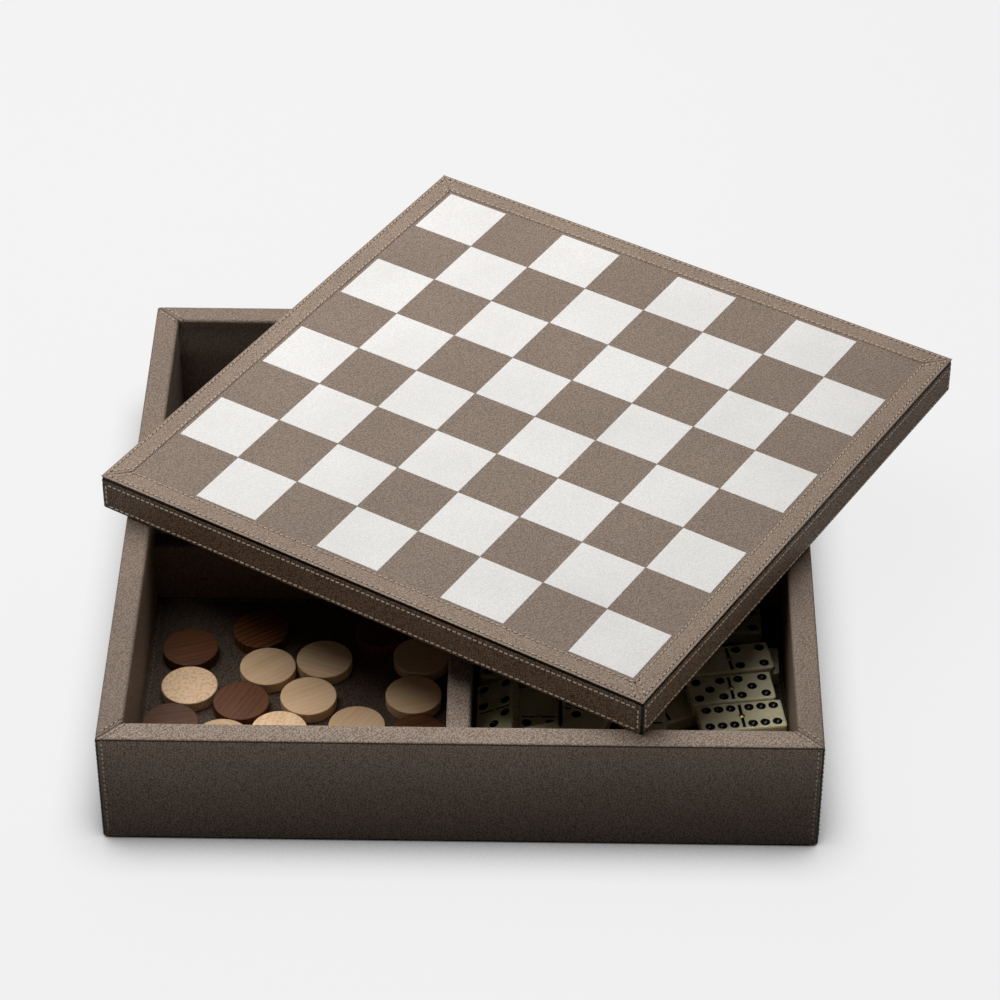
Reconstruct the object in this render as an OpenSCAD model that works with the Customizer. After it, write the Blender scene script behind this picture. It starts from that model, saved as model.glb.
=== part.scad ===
// Games compendium box: a leather covered wooden tray in four compartments, holding
// draughts and dominoes, with a loose chequer-board lid lying turned across its rim.
// The lid is smaller than the mouth of the tray. Put on square, it drops between the
// walls, rests on the dividers and closes flush with the rim.
// Origin: centre of the underside. X to the right, Y to the back, Z up. Millimetres.

/* [Board and lid] */
// Side of one square of the board
square_side = 40; // [37:0.5:44]
// Width of the plain margin round the board
margin_w = 14.4; // [13:0.2:16]
// Thickness of the whole lid
lid_h = 22.6; // [20:0.2:25]
// Play between the closed lid and the wall on each side
lid_play = 1.2; // [1:0.1:2.4]
// How far the open lid is turned on the box
lid_turn = -31.4; // [-33:0.1:-30]
// Thickness of the leather sheet under the board
board_hide_t = 1.3; // [1:0.1:1.6]
// Thickness of the border strips sewn on the sheet
strip_t = 0.5; // [0.3:0.1:0.8]
// Thickness of the white leather squares
inlay_t = 0.25; // [0.2:0.05:0.3]

/* [Tray] */
// Height of the tray
box_h = 71; // [66:0.5:80]
// Thickness of a wall with its leather
wall_t = 13.6; // [12.4:0.2:16]
// Height of the compartment floors above the table
floor_z = 11.4; // [9:0.2:12]
// Thickness of the wrapping leather
hide_t = 1.2; // [0.9:0.1:1.5]
// Thickness of the underside and lid linings
lining_t = 0.5; // [0.3:0.1:1]
// Thickness of a divider with its leather
divider_t = 13; // [11:0.2:13.4]
// Distance of the long divider from the middle, to the right
divider_x = -1.8; // [-2:0.2:0]

/* [Draughts] */
// Diameter of a draught
draught_d = 30.8; // [27:0.2:31]
// Thickness of a draught
draught_t = 6.5; // [5:0.1:8]

/* [Dominoes] */
// Thickness of a domino
tile_t = 9; // [7:0.1:9.4]
// Diameter of a pip at the face
pip_d = 5.4; // [4.4:0.1:5.8]
// Depth of a pip
pip_depth = 1.3; // [0.8:0.1:1.6]
// Diameter of the head of the brass pin
pin_d = 2.6; // [2:0.1:3]

/* [Hidden] */
$fn = 36;
s = square_side / 40;
lid_side = 8 * square_side + 2 * margin_w;
mouth = lid_side + 2 * lid_play;
box_side = mouth + 2 * wall_t;
half = box_side / 2;
inner = mouth / 2;
corner_r = 1.5;
foot_r = 1.6;
core_t = wall_t - 2 * hide_t;
turn_in = 20;
base_z0 = lining_t + hide_t;
base_z1 = floor_z - hide_t;
tongue = 4;
tongue_z = (base_z0 + base_z1) / 2;
tongue_t = 3.2;
spline_t = 3;
spline_w = 9;
spline_above_base = 4;
spline_below_rim = 8;
divider_top = box_h - lid_h;
slab_t = divider_t - 2 * hide_t;
lap_z = (base_z1 + divider_top) / 2;
margin_strip_w = margin_w - 1.8;
lid_x = 36.6 * s;
lid_y = 58 * s;
lid_sheet_z = lid_h - strip_t - board_hide_t;
lid_foot_r = 1.6;
lid_turn_in = 14;
tile_l = 46.6 * s;
tile_w = 22 * s;
tile_corner_r = 2.6;
tile_edge_r = 1.3;
pip_first = 5 * s;
pip_step = 6.65 * s;
pip_row = 6.4 * s;
rest_gap = 0.05;
bar_w = 1.8;
bar_l = 18.4 * s;
bar_depth = 0.6;
pin_shank_d = 1.4;
pin_shank_l = 4;
pin_cup_d = 3.6;
draught_edge_r = 0.6;

leather = [0.50, 0.44, 0.39];
board_white = [0.92, 0.91, 0.89];
timber = [0.72, 0.58, 0.42];
walnut = [0.30, 0.18, 0.13];
maple = [0.83, 0.69, 0.50];
ivory = [0.93, 0.91, 0.80];
suede = [0.33, 0.29, 0.26];
brass = [0.80, 0.62, 0.28];

// The four sides in order, with the turn that brings the front side to each
sides = ["front", "right", "back", "left"];
// The four compartments: name, side in X, side in Y
rooms = [["front_left", -1, -1], ["front_right", 1, -1], ["back_left", -1, 1], ["back_right", 1, 1]];

// Draughts that no part of the open lid covers. Centres from the front left inside corner
walnut_free = [["a", 22.9, 119.3], ["b", 54.1, 75.8], ["c", 16.8, 57.9]];
maple_free = [["a", 24.9, 88], ["b", 45.5, 45.7], ["c", 76.1, 52.6], ["d", 90.5, 80.4], ["e", 117.9, 57.2]];
// Draughts that the open lid covers in part or in whole, with the number stacked there
walnut_seen = [["d", 61, 135], ["e", 128.3, 136.3], ["f", 151.1, 51.3]];
maple_seen = [["f", 66.8, 104.3], ["g", 97.7, 110.9], ["h", 151.1, 114.6], ["i", 147.9, 82.6]];
walnut_stacks = [[92, 218], [130, 214]];
maple_stacks = [[126, 252]];
stack_n = 3;

// Dominoes: name, two ends, centre from the front right inside corner, layer, turn
tiles_seen = [
    ["six_six", 6, 6, -25.5, 55.8, 1, 8.2],
    ["five_five", 5, 5, -30.7, 78.2, 1, 8.4],
    ["blank_four", 0, 4, -31, 102.2, 1, 10],
    ["one_blank", 1, 0, -67.7, 69.9, 0, 26],
    ["blank_three", 0, 3, -77.7, 49.7, 1, 90],
    ["blank_five", 0, 5, -134.9, 63.3, 0, -90],
    ["two_three", 2, 3, -106.8, 57.9, 1, 69.4],
];
leaning_tile = ["three_four", 4, 3, -155.3, 64.5, -90];
tiles_below = [
    [2, 0, -143.4, 23.2, 2, 18.6],
    [4, 5, -34.6, 145, 0, 0],
    [2, 2, -26.2, 111.2, 0, 0],
    [1, 5, -111.1, 70.2, 0, 90],
    [6, 1, -88.4, 150.3, 1, -6],
    [3, 3, -25.3, 41.9, 0, 0],
    [4, 4, -20.3, 76.5, 0, 90],
    [2, 6, -72.8, 35.2, 0, 0],
    [0, 6, -144.9, 153.3, 0, 1],
    [1, 1, -93.4, 155.3, 0, -3],
    [3, 5, -144.4, 129.3, 0, 0],
    [4, 6, -93.4, 130.3, 0, 2],
    [2, 4, -144.4, 105.3, 0, -1],
    [1, 4, -93.4, 105.9, 0, 0],
    [0, 0, -144.9, 12.2, 0, 0],
    [1, 2, -94.4, 12.8, 0, 0],
    [1, 3, -25.7, 17.5, 0, -4],
    [2, 5, -145.9, 17.8, 1, 3],
    [3, 6, -84.4, 116.3, 1, 20],
    [5, 6, -144.4, 119.3, 1, -12],
];

// Rectangle from the corner a to the corner b, with its corners rounded to r
module round_rect(a, b, r) {
    size = b - a;
    translate([a[0] + r, a[1]]) square([size[0] - 2 * r, size[1]]);
    translate([a[0], a[1] + r]) square([size[0], size[1] - 2 * r]);
    for (x = [a[0] + r, b[0] - r], y = [a[1] + r, b[1] - r]) translate([x, y]) circle(r);
}

// Square column with small round corners, as the walls and the lid are trimmed
module column(side, r, z0, z1) {
    translate([0, 0, z0]) linear_extrude(z1 - z0)
        round_rect([-side / 2, -side / 2], [side / 2, side / 2], r);
}

// Prism whose ends are mitred at 45 degrees, over one side of a square
module mitre_space(side, depth, z0, z1) {
    translate([0, 0, z0]) linear_extrude(z1 - z0) polygon([
        [-side / 2, -side / 2],
        [side / 2, -side / 2],
        [side / 2 - depth, -side / 2 + depth],
        [-side / 2 + depth, -side / 2 + depth]
    ]);
}

// A profile drawn in depth and height runs along the front side of a square
module along_front(side) {
    translate([-side / 2, -side / 2, 0]) rotate([90, 0, 90]) linear_extrude(side) children();
}

// Wooden wall with its groove for the floor and its slots for the corner splines
module wall_core(i) {
    color(timber) rotate(90 * i) difference() {
        intersection() {
            along_front(box_side) difference() {
                translate([hide_t, base_z0]) square([core_t, box_h - hide_t - base_z0]);
                difference() {
                    translate([hide_t - 1, base_z0 - 1]) square(foot_r + 1 - hide_t);
                    translate([foot_r, lining_t + foot_r]) circle(foot_r - hide_t);
                }
            }
            mitre_space(box_side, wall_t, 0, box_h);
        }
        tongue_plate();
        for (x = [-1, 1]) corner_spline(x, -1);
    }
}

// Leather of one wall, sewn as one piece: under, up the outside, over the rim and down inside
module wall_cover(i) {
    color(leather) rotate(90 * i) intersection() {
        along_front(box_side) difference() {
            union() {
                difference() {
                    round_rect([0, lining_t], [wall_t, box_h], 1.2);
                    translate([-1, lining_t - 1]) square(foot_r + 1);
                }
                intersection() {
                    translate([0, lining_t]) square(foot_r);
                    translate([foot_r, lining_t + foot_r]) circle(foot_r);
                }
                translate([foot_r, lining_t]) square([turn_in - foot_r, hide_t]);
            }
            translate([hide_t, lining_t + foot_r]) square([core_t, box_h - hide_t - lining_t - foot_r]);
            translate([foot_r, base_z0]) square([turn_in, base_z1 - base_z0]);
            translate([foot_r, base_z0]) square([core_t + hide_t - foot_r, box_h / 2]);
            translate([foot_r, lining_t + foot_r]) circle(foot_r - hide_t);
        }
        mitre_space(box_side, turn_in, 0, box_h);
        column(box_side, corner_r, 0, box_h);
    }
}

// Loose tongue of plywood across a mitred corner of the walls
module corner_spline(x, y) {
    middle = half - hide_t - core_t / 2;
    z0 = base_z1 + spline_above_base;
    z1 = box_h - spline_below_rim;
    translate([x * middle, y * middle, (z0 + z1) / 2]) rotate(-45 * x * y)
        cube([spline_w, spline_t, z1 - z0], center = true);
}

module corner_splines() {
    color(timber) for (x = [-1, 1], y = [-1, 1]) corner_spline(x, y);
}

module tongue_plate() {
    side = 2 * (half - hide_t - core_t + tongue);
    translate([0, 0, tongue_z]) cube([side, side, tongue_t], center = true);
}

// Bottom board, tongued into the walls and stepped down between the turned-in leathers
module base_panel() {
    board = 2 * (half - hide_t - core_t);
    step = box_side - 2 * turn_in;
    color(timber) {
        translate([-board / 2, -board / 2, base_z0]) cube([board, board, base_z1 - base_z0]);
        translate([-step / 2, -step / 2, lining_t]) cube([step, step, hide_t]);
        tongue_plate();
    }
}

module base_lining() {
    side = box_side - 20;
    color(suede) linear_extrude(lining_t) round_rect([-side / 2, -side / 2], [side / 2, side / 2], 2);
}

// Leather floor of one compartment, on the side sx, sy of the dividers
module floor_panel(sx, sy) {
    x_edge = divider_x + sx * divider_t / 2;
    x0 = min(x_edge, sx * inner);
    y0 = min(sy * divider_t / 2, sy * inner);
    color(leather) translate([x0, y0, base_z1])
        cube([abs(sx * inner - x_edge), inner - divider_t / 2, hide_t]);
}

// Board of a divider, standing along Y through the middle
module slab(z0, z1, w, l) {
    translate([-w / 2, -l / 2, z0]) cube([w, l, z1 - z0]);
}

module divider_long() {
    color(timber) difference() {
        translate([divider_x, 0, 0]) slab(base_z1, divider_top - hide_t, slab_t, mouth);
        translate([divider_x, 0, 0]) slab(lap_z, box_h, slab_t + 2, slab_t);
    }
}

module divider_cross() {
    color(timber) difference() {
        rotate(90) slab(base_z1, divider_top - hide_t, slab_t, mouth);
        translate([divider_x, 0, 0]) slab(0, lap_z, slab_t, slab_t + 2);
    }
}

// Leather folded over a divider, as a profile across it
module divider_fold() {
    r = 1.5;
    difference() {
        union() {
            translate([-divider_t / 2, base_z1]) square([divider_t, divider_top - r - base_z1]);
            translate([-divider_t / 2 + r, base_z1]) square([divider_t - 2 * r, divider_top - base_z1]);
            for (x = [-1, 1]) translate([x * (divider_t / 2 - r), divider_top - r]) circle(r);
        }
        translate([-slab_t / 2, base_z1 - 1]) square([slab_t, divider_top - hide_t - base_z1 + 1]);
    }
}

module divider_long_cover() {
    color(leather) difference() {
        translate([divider_x, inner, 0]) rotate([90, 0, 0]) linear_extrude(mouth) divider_fold();
        translate([divider_x, 0, 0]) slab(0, divider_top - hide_t, divider_t + 2, slab_t);
    }
}

// Leather of the cross divider between the wall on the side sx and the long divider
module divider_cross_cover(sx) {
    x_edge = divider_x + sx * divider_t / 2;
    x0 = min(x_edge, sx * inner);
    color(leather) translate([x0, 0, 0]) rotate([90, 0, 90])
        linear_extrude(abs(sx * inner - x_edge)) divider_fold();
}

// Places the lid as it lies turned across the rim
module on_rim() {
    translate([lid_x, lid_y, box_h]) rotate(lid_turn) children();
}

// Lid board, rounded under its edges and stepped down inside the turned-in bands
module lid_core() {
    side = lid_side - 2 * hide_t;
    step = lid_side - 2 * lid_turn_in;
    r = lid_foot_r - hide_t;
    color(timber) on_rim() {
        translate([-side / 2, -side / 2, lid_foot_r]) cube([side, side, lid_sheet_z - lid_foot_r]);
        translate([-side / 2 + r, -side / 2 + r, hide_t]) cube([side - 2 * r, side - 2 * r, r]);
        translate([-step / 2, -step / 2, lining_t]) cube([step, step, hide_t - lining_t]);
    }
}

module lid_sheet() {
    color(leather) on_rim() column(lid_side, corner_r, lid_sheet_z, lid_h - strip_t);
}

// The 32 white squares. Those at the left back and right front corners are white
module lid_white_squares() {
    z = lid_h - strip_t;
    color(board_white) on_rim() for (i = [0:7], j = [0:7]) if ((i + j) % 2 == 1)
        translate([(i - 4) * square_side, (j - 4) * square_side, z])
            translate([0.15, 0.15, 0]) cube([square_side - 0.3, square_side - 0.3, inlay_t]);
}

module lid_lining() {
    side = lid_side - 2 * lid_turn_in;
    color(suede) on_rim() translate([-side / 2, -side / 2, 0]) cube([side, side, lining_t]);
}

// Border strip of one side, mitred at its ends
module lid_border(i) {
    z = lid_h - strip_t;
    color(leather) on_rim() rotate(90 * i) intersection() {
        mitre_space(lid_side, margin_strip_w, z, lid_h);
        column(lid_side, corner_r, z, lid_h);
    }
}

// Leather band of one side of the lid, turned in underneath
module lid_band(i) {
    r = lid_foot_r;
    color(leather) on_rim() rotate(90 * i) intersection() {
        along_front(lid_side) {
            translate([0, r]) square([hide_t, lid_sheet_z - r]);
            translate([r, 0]) square([lid_turn_in - r, hide_t]);
            intersection() {
                square(r);
                difference() {
                    translate([r, r]) circle(r);
                    translate([r, r]) circle(r - hide_t);
                }
            }
        }
        mitre_space(lid_side, lid_turn_in, 0, lid_sheet_z);
        column(lid_side, corner_r, 0, lid_sheet_z);
    }
}

// One draught with eased edges, standing on z = 0
module draught() {
    r = draught_edge_r;
    rotate_extrude() intersection() {
        round_rect([-draught_d / 2, 0], [draught_d / 2, draught_t], r);
        square([draught_d, draught_t]);
    }
}

// A draught or a stack, placed from the front left inside corner
module draught_at(x, y, n = 1) {
    for (i = [0 : n - 1]) translate([s * x - inner, s * y - inner, floor_z + i * (draught_t + rest_gap)]) draught();
}

// Block of a domino on z = 0, with its corners and edges rounded
module tile_block() {
    l = tile_l / 2;
    w = tile_w / 2;
    intersection() {
        linear_extrude(tile_t) round_rect([-l, -w], [l, w], tile_corner_r);
        translate([-l, 0, 0]) rotate([90, 0, 90]) linear_extrude(tile_l)
            round_rect([-w, 0], [w, tile_t], tile_edge_r);
        translate([0, w, 0]) rotate([90, 0, 0]) linear_extrude(tile_w)
            round_rect([-l, 0], [l, tile_t], tile_edge_r);
    }
}

// Where the pips of the number n lie on one end: column and row
function pips(n) = [
    for (c = [0:2], r = [-1:1])
        if ((n % 2 == 1 && c == 1 && r == 0) || (n >= 2 && c + r == 1 && r != 0)
            || (n >= 4 && c - r == 1 && r != 0) || (n == 6 && c == 1 && r != 0))
            [c, r]
];

module pip_cut(x, y) {
    ball_r = (pow(pip_d / 2, 2) + pow(pip_depth, 2)) / (2 * pip_depth);
    translate([x, y, tile_t + ball_r - pip_depth]) sphere(ball_r);
}

// A domino with the number a on its left end and b on its right end
module tile(a, b) {
    difference() {
        tile_block();
        for (p = pips(a)) pip_cut(-pip_first - pip_step * p[0], pip_row * p[1]);
        for (p = pips(b)) pip_cut(pip_first + pip_step * p[0], pip_row * p[1]);
        translate([-bar_w / 2, -bar_l / 2, tile_t - bar_depth]) cube([bar_w, bar_l, bar_depth + 1]);
        translate([0, 0, tile_t - bar_depth]) cylinder(h = bar_depth + 1, d = pin_cup_d);
        translate([0, 0, tile_t - bar_depth - pin_shank_l]) cylinder(h = tile_t, d = pin_shank_d);
    }
}

// Brass pin in the middle of a domino, with a domed head
module pin() {
    head_h = 0.5;
    dome_r = (pow(pin_d / 2, 2) + pow(head_h, 2)) / (2 * head_h);
    z = tile_t - bar_depth;
    translate([0, 0, z - pin_shank_l]) cylinder(h = pin_shank_l + 0.1, d = pin_shank_d);
    intersection() {
        translate([0, 0, z]) cylinder(h = 1, d = pin_d);
        translate([0, 0, z + head_h - dome_r]) sphere(dome_r);
    }
}

// Places a domino from the front right inside corner, on its layer and turned
module tile_at(x, y, layer, turn) {
    translate([inner + s * x, s * y - inner, floor_z + layer * (tile_t + rest_gap)]) rotate(turn) children();
}

// The leaning domino stands on one lower edge and rests with the other on a first layer tile
module tile_leaning() {
    lean = asin(tile_t / tile_w);
    translate([inner + s * leaning_tile[3], s * leaning_tile[4] - inner, floor_z + tile_t / 2])
        rotate([0, -lean, 0]) rotate(leaning_tile[5]) children();
}

module dominoes_below() {
    color(ivory) for (t = tiles_below) tile_at(t[2], t[3], t[4], t[5]) tile(t[0], t[1]);
}

module domino_pins() {
    color(brass) {
        for (t = tiles_seen) tile_at(t[3], t[4], t[5], t[6]) pin();
        for (t = tiles_below) tile_at(t[2], t[3], t[4], t[5]) pin();
        tile_leaning() pin();
    }
}

for (i = [0:3]) {
    wall_core(i);
    wall_cover(i);
    lid_border(i);
    lid_band(i);
}
for (r = rooms)
    floor_panel(r[1], r[2]);
corner_splines();
base_panel();
base_lining();
divider_long();
divider_cross();
divider_long_cover();
divider_cross_cover(-1);  // divider_cross_cover_left
divider_cross_cover(1);  // divider_cross_cover_right
lid_core();
lid_sheet();
lid_white_squares();
lid_lining();
for (d = concat(walnut_free, walnut_seen))
    color(walnut) draught_at(d[1], d[2]);
for (d = concat(maple_free, maple_seen))
    color(maple) draught_at(d[1], d[2]);
color(walnut) for (d = walnut_stacks) draught_at(d[0], d[1], stack_n);  // draughts_walnut_stacked
color(maple) for (d = maple_stacks) draught_at(d[0], d[1], stack_n);  // draughts_maple_stacked
for (t = tiles_seen)
    color(ivory) tile_at(t[3], t[4], t[5], t[6]) tile(t[1], t[2]);
color(ivory) tile_leaning() tile(leaning_tile[1], leaning_tile[2]);
dominoes_below();
domino_pins();
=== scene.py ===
import math

import bpy
import numpy as np
from mathutils import Matrix, Vector


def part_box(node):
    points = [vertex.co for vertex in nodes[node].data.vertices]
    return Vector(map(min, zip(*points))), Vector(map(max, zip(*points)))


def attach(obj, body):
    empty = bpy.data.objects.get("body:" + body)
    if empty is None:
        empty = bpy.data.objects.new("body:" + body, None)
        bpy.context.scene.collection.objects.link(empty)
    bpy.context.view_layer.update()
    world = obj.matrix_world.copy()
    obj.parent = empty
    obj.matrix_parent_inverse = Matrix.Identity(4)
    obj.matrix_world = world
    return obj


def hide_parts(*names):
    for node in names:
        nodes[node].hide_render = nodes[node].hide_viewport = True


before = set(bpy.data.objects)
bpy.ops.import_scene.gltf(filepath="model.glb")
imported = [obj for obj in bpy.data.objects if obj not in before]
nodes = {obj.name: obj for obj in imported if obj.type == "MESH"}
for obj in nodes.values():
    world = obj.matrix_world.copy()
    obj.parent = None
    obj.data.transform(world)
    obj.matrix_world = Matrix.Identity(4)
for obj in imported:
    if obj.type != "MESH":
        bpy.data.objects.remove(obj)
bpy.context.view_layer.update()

# Sizes in millimetres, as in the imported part
BOX = 378.4
HALF = BOX / 2
BOX_H = 71.0
WALL = 13.6
INNER = HALF - WALL
HIDE = 1.2
LINING = 0.5
FOOT_R = 1.6
FLOOR = 11.4
FLOOR_UNDER = FLOOR - HIDE
TURN_IN = 20.0
DIVIDER = 13.0
DIVIDER_X = -1.8
DIVIDER_TOP = 48.4
LID = 348.8
LID_H = 22.6
SQUARE = 40.0
SHEET_Z = 20.8
STRIP_Z = 22.1
STRIP_W = 12.6
LID_ROWS = (2.2, 11.7)
BAND_ROWS = (2.7, 17.5)
INLAY = 0.25
LID_X = 36.6
LID_Y = 58.0
LID_TURN = -31.4
TILE_W = 22.0
TILE_T = 9.0
PIP_D = 5.4
PIP_DEPTH = 1.3
LAYER = TILE_T + 0.05

# Where the lid lies on the rim, in metres
LID_PLACE = Matrix.Translation((LID_X / 1000, LID_Y / 1000, BOX_H / 1000))
LID_AT = LID_PLACE @ Matrix.Rotation(math.radians(LID_TURN), 4, "Z")

scene = bpy.context.scene


# Camera, fitted to the photograph. Its axes are unit vectors in the shared frame

LENS = 135.898
SENSOR = 36.0
CAMERA_AT = (0.0428464, -1.6223027, 1.4042943)
CAMERA_RIGHT = Vector((0.9998616, 0.0165734, 0.0014219))
CAMERA_DOWN = Vector((0.011583, -0.6323334, -0.7746098))
CAMERA_AHEAD = Vector((-0.0119388, 0.7745191, -0.6324379))


def add_camera():
    data = bpy.data.cameras.new("camera")
    data.sensor_width = SENSOR
    data.lens = LENS
    data.clip_start = 0.05
    data.clip_end = 50.0
    camera = bpy.data.objects.new("camera", data)
    scene.collection.objects.link(camera)
    turn = Matrix((CAMERA_RIGHT, -CAMERA_DOWN, -CAMERA_AHEAD)).transposed().to_4x4()
    camera.matrix_world = Matrix.Translation(CAMERA_AT) @ turn
    scene.camera = camera


add_camera()
scene.view_settings.view_transform = "Standard"


# Node helpers


class Graph:
    """A material's nodes, with inputs given as numbers, colours or other nodes' outputs."""

    def __init__(self, name):
        self.material = bpy.data.materials.new(name)
        self.material.use_nodes = True
        self.tree = self.material.node_tree
        self.tree.nodes.clear()
        self.output = self.tree.nodes.new("ShaderNodeOutputMaterial")

    def put(self, socket, value):
        """Sets an input, or links it if the value is another node's output."""
        if isinstance(value, bpy.types.NodeSocket):
            self.tree.links.new(value, socket)
        else:
            socket.default_value = value

    def add(self, kind, inputs=None, **settings):
        made = self.tree.nodes.new("ShaderNode" + kind)
        for key, value in settings.items():
            setattr(made, key, value)
        for key, value in (inputs or {}).items():
            self.put(made.inputs[key], value)
        return made

    def here(self):
        """The place on the object, in metres."""
        return self.add("TexCoord").outputs["Object"]

    def vector(self, operation, a, b):
        return self.add("VectorMath", {0: a, 1: b}, operation=operation).outputs[0]

    def scaled(self, vector, factor):
        return self.add("VectorMath", {0: vector, "Scale": factor}, operation="SCALE").outputs[0]

    def math(self, operation, a, b=0.0, clamp=False):
        return self.add("Math", {0: a, 1: b}, operation=operation, use_clamp=clamp).outputs[0]

    def span(self, value, low, high, to_low=0.0, to_high=1.0, smooth=True):
        kind = "SMOOTHSTEP" if smooth else "LINEAR"
        inputs = {"Value": value, "From Min": low, "From Max": high, "To Min": to_low, "To Max": to_high}
        return self.add("MapRange", inputs, interpolation_type=kind).outputs[0]

    def mix(self, share, a, b):
        """Colour a where share is 0, colour b where it is 1. A Mix node has its colours in 6 and 7."""
        made = self.add("Mix", data_type="RGBA", blend_type="MIX")
        for key, value in ((0, share), (6, a), (7, b)):
            self.put(made.inputs[key], value)
        return made.outputs[2]

    def place(self, turn=(0, 0, 0), scale=(1, 1, 1)):
        """The place on the object, turned and scaled."""
        inputs = {"Vector": self.here(), "Rotation": turn, "Scale": scale}
        return self.add("Mapping", inputs, vector_type="POINT").outputs[0]

    def noise(self, where, scale, detail=2.0, rough=0.5):
        inputs = {"Vector": where, "Scale": scale, "Detail": detail, "Roughness": rough}
        return self.add("TexNoise", inputs).outputs["Fac"]

    def bump(self, height, distance, strength=1.0, under=None):
        inputs = {"Height": height, "Distance": distance, "Strength": strength}
        if under is not None:
            inputs["Normal"] = under
        return self.add("Bump", inputs).outputs[0]

    def surface(self, **inputs):
        names = {
            "color": "Base Color",
            "rough": "Roughness",
            "normal": "Normal",
            "metal": "Metallic",
            "specular": "Specular IOR Level",
            "sheen": "Sheen Weight",
            "sheen_rough": "Sheen Roughness",
            "subsurface": "Subsurface Weight",
            "subsurface_scale": "Subsurface Scale",
            "subsurface_radius": "Subsurface Radius",
        }
        made = self.add("BsdfPrincipled", {names[k]: v for k, v in inputs.items()})
        self.tree.links.new(made.outputs[0], self.output.inputs[0])
        return self.material


def rgb(r, g, b):
    """A colour written as 8-bit sRGB, as linear RGBA."""
    channels = [c / 255 for c in (r, g, b)]
    linear = [c / 12.92 if c <= 0.04045 else ((c + 0.055) / 1.055) ** 2.4 for c in channels]
    return (*linear, 1.0)


def brighter(colour, factor):
    return tuple(c * factor for c in colour[:3]) + (1,)


def leather(name, light, valley, cell=0.92, depth=0.16, contrast=0.62, rough=(0.52, 0.7)):
    """Pebble grained leather: small domed grains in slanting, wandering rows, darker between them.
    cell is a grain's size and depth the height of its bump, in millimetres."""
    g = Graph(name)
    plain = g.here()

    # Rows of grains: squeezed, turned, and carried to and fro by a slow noise
    drift = g.add("TexNoise", {"Vector": plain, "Scale": 110.0, "Detail": 1.0})
    start = g.place(turn=(0.35, 0.3, math.radians(38)), scale=(1.0, 0.8, 0.88))
    shifted = g.vector("MULTIPLY", drift.outputs["Color"], (0.0025, 0.0025, 0.0025))
    where = g.vector("ADD", start, shifted)
    inputs = {"Vector": where, "Scale": 1000.0 / cell, "Randomness": 0.7}
    centre = g.add("TexVoronoi", inputs, feature="F1").outputs["Distance"]
    crease = g.span(centre, 0.2, 0.72)

    # Colour: broad patches, the creases, then fine specks
    fine = g.noise(plain, scale=1500.0, detail=3.0, rough=0.65)
    patch = g.noise(plain, scale=16.0, detail=3.0, rough=0.55)
    shade = g.mix(g.span(patch, 0.25, 0.75), brighter(light, 0.94), brighter(light, 1.05))
    colour = g.mix(g.math("MULTIPLY", crease, contrast), shade, valley)
    colour = g.scaled(colour, g.span(fine, 0.3, 0.7, 0.92, 1.08))

    # Form: slow waves in the hide, and the grain on them
    height = g.math("SUBTRACT", g.math("MULTIPLY", fine, 0.2), crease)
    wave = g.noise(plain, scale=55.0)
    first = g.bump(wave, distance=0.0004, strength=0.35)
    normal = g.bump(height, distance=depth / 1000, strength=0.9, under=first)
    roughness = g.span(crease, 0.0, 1.0, *rough, smooth=False)
    return g.surface(color=colour, rough=roughness, normal=normal, specular=0.22)


def suede(name, light, dark):
    """Short nap, brushed one way."""
    g = Graph(name)
    nap = g.noise(g.here(), scale=900.0, detail=4.0, rough=0.7)
    brushed = g.noise(g.place(scale=(1, 3.5, 1)), scale=40.0, detail=3.0, rough=0.6)
    share = g.math("ADD", g.math("MULTIPLY", nap, 0.5), g.math("MULTIPLY", brushed, 0.5))
    colour = g.mix(share, dark, light)
    normal = g.bump(nap, distance=0.0002, strength=0.8)
    return g.surface(color=colour, rough=0.95, normal=normal, sheen=0.35, sheen_rough=0.5, specular=0.15)


def edge_paint(name):
    """Black edge paint, a little uneven and scuffed."""
    g = Graph(name)
    where = g.here()
    wobble = g.noise(where, scale=420.0, detail=3.0, rough=0.6)
    scuff = g.span(g.noise(where, scale=90.0, detail=4.0, rough=0.65), 0.62, 0.8)
    colour = g.mix(scuff, rgb(13, 12, 11), rgb(30, 27, 25))
    normal = g.bump(wobble, distance=0.0001, strength=0.5)
    rough = g.span(wobble, 0.3, 0.7, 0.48, 0.62)
    return g.surface(color=colour, rough=rough, normal=normal, specular=0.15)


def thread(name, light, dark):
    """Waxed thread: fine twist lines that slant across each stitch."""
    g = Graph(name)
    where = g.here()
    inputs = {"Vector": where, "Scale": 900.0, "Distortion": 1.5, "Detail": 1.0}
    twist = g.add("TexWave", inputs, bands_direction="DIAGONAL").outputs["Fac"]
    fuzz = g.noise(where, scale=1800.0, detail=2.0, rough=0.6)
    colour = g.mix(g.math("MULTIPLY", twist, 0.6), light, dark)
    colour = g.mix(g.span(fuzz, 0.3, 0.75, 0.0, 0.35), colour, dark)
    normal = g.bump(twist, distance=0.00008, strength=0.7)
    return g.surface(color=colour, rough=0.62, normal=normal, sheen=0.15)


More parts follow.
